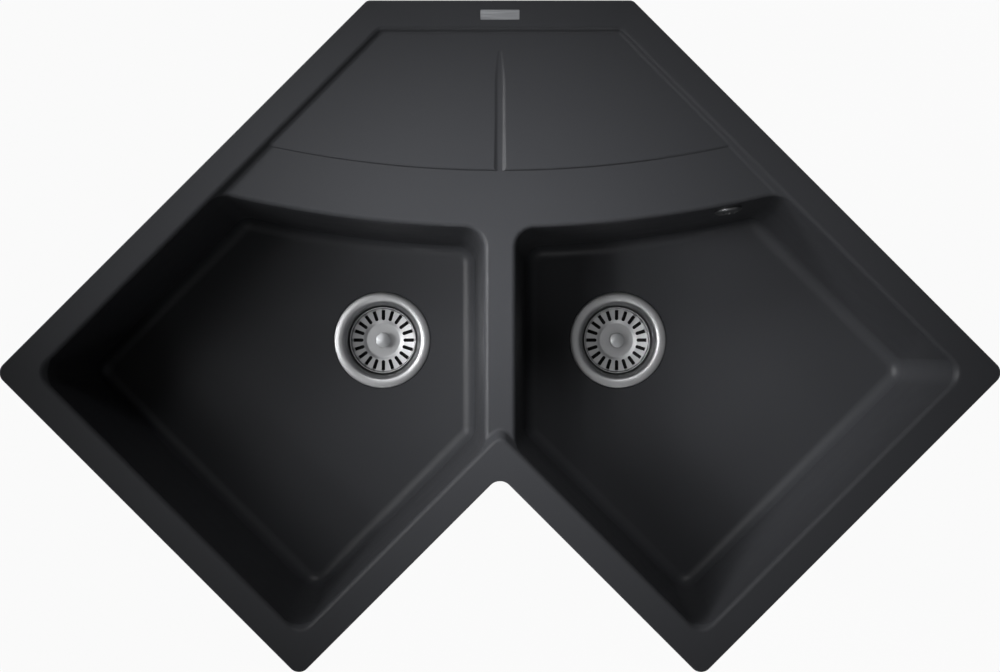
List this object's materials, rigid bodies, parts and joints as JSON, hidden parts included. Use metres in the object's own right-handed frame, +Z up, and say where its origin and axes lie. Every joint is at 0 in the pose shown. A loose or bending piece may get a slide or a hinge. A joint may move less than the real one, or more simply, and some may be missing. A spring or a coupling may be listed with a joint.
{
  "type": "corner kitchen sink",
  "caption": "Corner kitchen sink with bowls in angled arms, a grooved rear drainer deck, basket strainer wastes, overflow, joined waste pipes and under-rim clamps.",
  "frame": {"origin": "middle of the rim seal's underside at the rear edge, on the symmetry plane: the height of the worktop", "axes": "+Z up out of the worktop, +Y to the corner of the room, +X to the right of someone who stands at the sink"},
  "size_m": [1.0998, 0.738, 0.3924],
  "materials": {
    "granite_composite": "satin fine-grained",
    "badge_steel": "brushed",
    "polished_steel": "polished stainless",
    "chrome": "mirror",
    "zinc_steel": "zinc plated",
    "rubber": "matte",
    "seal_foam": "closed-cell foam",
    "pipe_plastic": "satin moulded",
    "hose_plastic": "satin",
    "dowel_plastic": "moulded"
  },
  "bodies": {
    "sink": {"sink_top": "granite_composite", "badge_plate": "badge_steel", "rim_seal": "seal_foam", "outlet_tee": "pipe_plastic", "overflow_cover": "chrome", "overflow_screw": "chrome", "overflow_gasket": "rubber", "overflow_elbow": "pipe_plastic", "overflow_hose": "hose_plastic", "overflow_upper_nut": "pipe_plastic", "overflow_lower_nut": "pipe_plastic", "rim_dowels": "dowel_plastic", "left_bowl": "granite_composite", "left_strainer_cup": "polished_steel", "left_clamp_screw": "zinc_steel", "left_flange_gasket": "rubber", "left_lower_gasket": "rubber", "left_waste_housing": "pipe_plastic", "left_outlet_nut": "pipe_plastic", "left_cone_washer": "rubber", "left_bend_pipe": "pipe_plastic", "left_link_nut": "pipe_plastic", "left_link_washer": "rubber", "right_bowl": "granite_composite", "right_strainer_cup": "polished_steel", "right_clamp_screw": "zinc_steel", "right_flange_gasket": "rubber", "right_lower_gasket": "rubber", "right_waste_housing": "pipe_plastic", "right_outlet_nut": "pipe_plastic", "right_cone_washer": "rubber", "right_bend_pipe": "pipe_plastic", "right_link_nut": "pipe_plastic", "right_link_washer": "rubber", "rim_screw_1": "zinc_steel", "rim_screw_2": "zinc_steel", "rim_screw_3": "zinc_steel", "rim_screw_4": "zinc_steel", "rim_screw_5": "zinc_steel", "rim_screw_6": "zinc_steel", "rim_screw_7": "zinc_steel", "rim_screw_8": "zinc_steel"},
    "left_basket_set": {"left_basket": "polished_steel", "left_basket_knob": "chrome", "left_stopper_seal": "rubber"},
    "right_basket_set": {"right_basket": "polished_steel", "right_basket_knob": "chrome", "right_stopper_seal": "rubber"},
    "claw_1": {"clamp_claw_1": "zinc_steel"},
    "claw_2": {"clamp_claw_2": "zinc_steel"},
    "claw_3": {"clamp_claw_3": "zinc_steel"},
    "claw_4": {"clamp_claw_4": "zinc_steel"},
    "claw_5": {"clamp_claw_5": "zinc_steel"},
    "claw_6": {"clamp_claw_6": "zinc_steel"},
    "claw_7": {"clamp_claw_7": "zinc_steel"},
    "claw_8": {"clamp_claw_8": "zinc_steel"}
  },
  "joints": [
    {"name": "left_basket_lift", "type": "slide", "parent": "sink", "child": "left_basket_set", "axis": [0, 0, 1], "range_m": [0, 0.26]},
    {"name": "right_basket_lift", "type": "slide", "parent": "sink", "child": "right_basket_set", "axis": [0, 0, 1], "range_m": [0, 0.26]},
    {"name": "claw_1_swing", "type": "hinge", "parent": "sink", "child": "claw_1", "pos_m": [0.16971, -0.04499, -0.045], "axis": [0, 0, 1], "range_deg": [0, 90]},
    {"name": "claw_2_swing", "type": "hinge", "parent": "sink", "child": "claw_2", "pos_m": [0.38184, -0.25712, -0.045], "axis": [0, 0, 1], "range_deg": [0, 90]},
    {"name": "claw_3_swing", "type": "hinge", "parent": "sink", "child": "claw_3", "pos_m": [0.37385, -0.55503, -0.045], "axis": [0, 0, 1], "range_deg": [0, 90]},
    {"name": "claw_4_swing", "type": "hinge", "parent": "sink", "child": "claw_4", "pos_m": [0.11837, -0.60544, -0.045], "axis": [0, 0, 1], "range_deg": [0, 90]},
    {"name": "claw_5_swing", "type": "hinge", "parent": "sink", "child": "claw_5", "pos_m": [-0.16971, -0.04499, -0.045], "axis": [0, 0, 1], "range_deg": [0, 90]},
    {"name": "claw_6_swing", "type": "hinge", "parent": "sink", "child": "claw_6", "pos_m": [-0.38184, -0.25712, -0.045], "axis": [0, 0, 1], "range_deg": [0, 90]},
    {"name": "claw_7_swing", "type": "hinge", "parent": "sink", "child": "claw_7", "pos_m": [-0.37385, -0.55503, -0.045], "axis": [0, 0, 1], "range_deg": [0, 90]},
    {"name": "claw_8_swing", "type": "hinge", "parent": "sink", "child": "claw_8", "pos_m": [-0.11837, -0.60544, -0.045], "axis": [0, 0, 1], "range_deg": [0, 90]}
  ]
}
